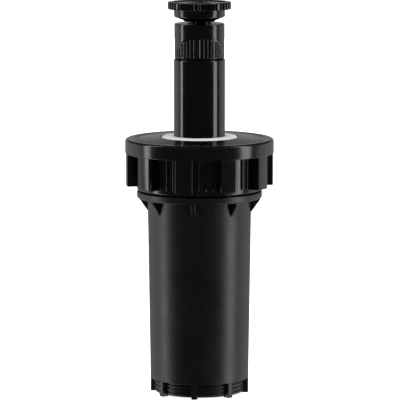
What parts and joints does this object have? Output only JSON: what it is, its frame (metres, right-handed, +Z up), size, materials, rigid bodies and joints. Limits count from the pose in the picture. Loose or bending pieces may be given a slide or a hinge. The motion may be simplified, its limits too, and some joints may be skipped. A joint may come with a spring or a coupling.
{
  "type": "pop-up sprinkler",
  "caption": "Pop-up spray sprinkler head with a threaded cap, a sprung sliding riser and an adjustable-arc nozzle, popped up above its pipe-threaded case.",
  "frame": {"origin": "on the head's axis, in the plane of the feet under the case", "axes": "+Z up along the riser; -Y towards the side where the spray slot ends, -X into the sprayed arc"},
  "size_m": [0.057, 0.057, 0.1506],
  "materials": {
    "case_plastic": "moulded black, fine matt grain",
    "cap_plastic": "moulded black, satin",
    "riser_plastic": "moulded black, polished",
    "nozzle_plastic": "moulded black, glossy",
    "seal_white": "white elastomer, satin",
    "hard_grey": "moulded grey, satin",
    "natural_acetal": "natural acetal, slightly waxy",
    "gasket_rubber": "black rubber",
    "stainless_wire": "drawn stainless wire",
    "stainless": "turned stainless",
    "screen_mesh": "moulded fine screen"
  },
  "bodies": {
    "case": {"body_case": "case_plastic"},
    "seal_stack": {"cap_gasket": "gasket_rubber", "wiper_seal": "seal_white", "seal_retainer": "hard_grey", "spring_top_washer": "stainless", "retraction_spring": "stainless_wire"},
    "cap": {"cap": "cap_plastic"},
    "ratchet": {"ratchet_ring": "natural_acetal"},
    "riser": {"riser_tube": "riser_plastic", "filter_frame": "hard_grey", "filter_mesh": "screen_mesh"},
    "nozzle_lifter": {"nozzle_washer": "gasket_rubber"},
    "nozzle": {"nozzle_collar": "nozzle_plastic", "spray_seat": "nozzle_plastic"},
    "arc_lifter": {"deflector_clip": "stainless"},
    "deflector": {"deflector": "nozzle_plastic", "arc_ring": "nozzle_plastic"},
    "flow_screw": {"flow_screw": "stainless", "screw_o_ring": "gasket_rubber"},
    "throttle": {"throttle_plug": "natural_acetal"}
  },
  "joints": [
    {"name": "cap_lift", "type": "slide", "parent": "case", "child": "seal_stack", "axis": [0, 0, 1], "range_m": [0, 0.00641]},
    {"name": "cap_turn", "type": "hinge", "parent": "seal_stack", "child": "cap", "pos_m": [0, 0, 0.088], "axis": [0, 0, 1], "range_deg": [0, 720]},
    {"name": "riser_slide", "type": "slide", "parent": "seal_stack", "child": "ratchet", "axis": [0, 0, 1], "range_m": [-0.048, 0], "deforming": ["retraction_spring"]},
    {"name": "riser_turn", "type": "hinge", "parent": "ratchet", "child": "riser", "pos_m": [0, 0, 0.065], "axis": [0, 0, 1], "continuous": true},
    {"name": "nozzle_lift", "type": "slide", "parent": "riser", "child": "nozzle_lifter", "axis": [0, 0, 1], "range_m": [0, 0.00272]},
    {"name": "nozzle_turn", "type": "hinge", "parent": "nozzle_lifter", "child": "nozzle", "pos_m": [0, 0, 0.136], "axis": [0, 0, 1], "range_deg": [0, 1080]},
    {"name": "arc_lift", "type": "slide", "parent": "nozzle", "child": "arc_lifter", "axis": [0, 0, 1], "range_m": [-0.000395, 0.000377]},
    {"name": "arc_turn", "type": "hinge", "parent": "arc_lifter", "child": "deflector", "pos_m": [0, 0, 0.143], "axis": [0, 0, 1], "range_deg": [-178, 170]},
    {"name": "screw_turn", "type": "hinge", "parent": "deflector", "child": "flow_screw", "pos_m": [0, 0, 0.149], "axis": [0, 0, 1], "range_deg": [-1440, 600]},
    {"name": "throttle_slide", "type": "slide", "parent": "nozzle", "child": "throttle", "axis": [0, 0, 1], "range_m": [-0.00099, 0.00239]}
  ],
  "couplings": [
    {"joint": "cap_lift", "follows": "cap_turn", "m_per_rad": 0.0005093},
    {"joint": "nozzle_turn", "follows": "nozzle_lift", "rad_per_m": 6927.4},
    {"joint": "arc_turn", "follows": "arc_lift", "rad_per_m": 7854},
    {"joint": "screw_turn", "follows": "throttle_slide", "rad_per_m": -10472}
  ]
}
